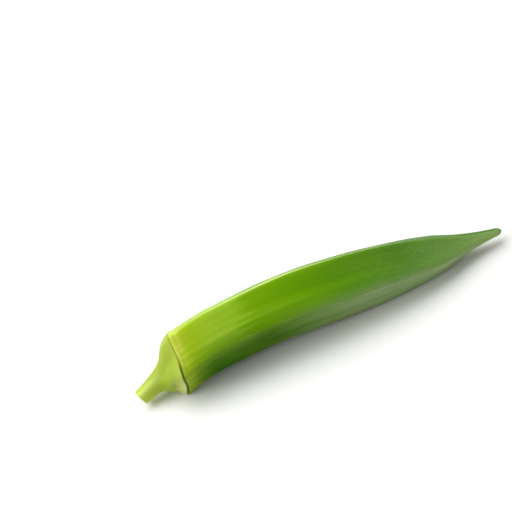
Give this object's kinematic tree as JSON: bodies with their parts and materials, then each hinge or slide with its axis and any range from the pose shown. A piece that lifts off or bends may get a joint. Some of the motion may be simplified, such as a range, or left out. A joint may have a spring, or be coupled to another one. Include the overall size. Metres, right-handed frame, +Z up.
{
  "type": "okra pod",
  "caption": "Fresh okra pod, five-ridged and tapering to a beak, with its cap and a short cut stalk, lying on its side.",
  "frame": {"origin": "on the surface that the pod lies on, below the middle of its bounding box", "axes": "+Z up from that surface, +X along the pod from the cut stalk to the pointed tip"},
  "size_m": [0.1242, 0.022, 0.0221],
  "materials": {
    "pod_skin": "satin green skin, paler and yellower on the cap and stalk"
  },
  "bodies": {
    "root": {"okra_pod": "pod_skin"}
  },
  "joints": []
}
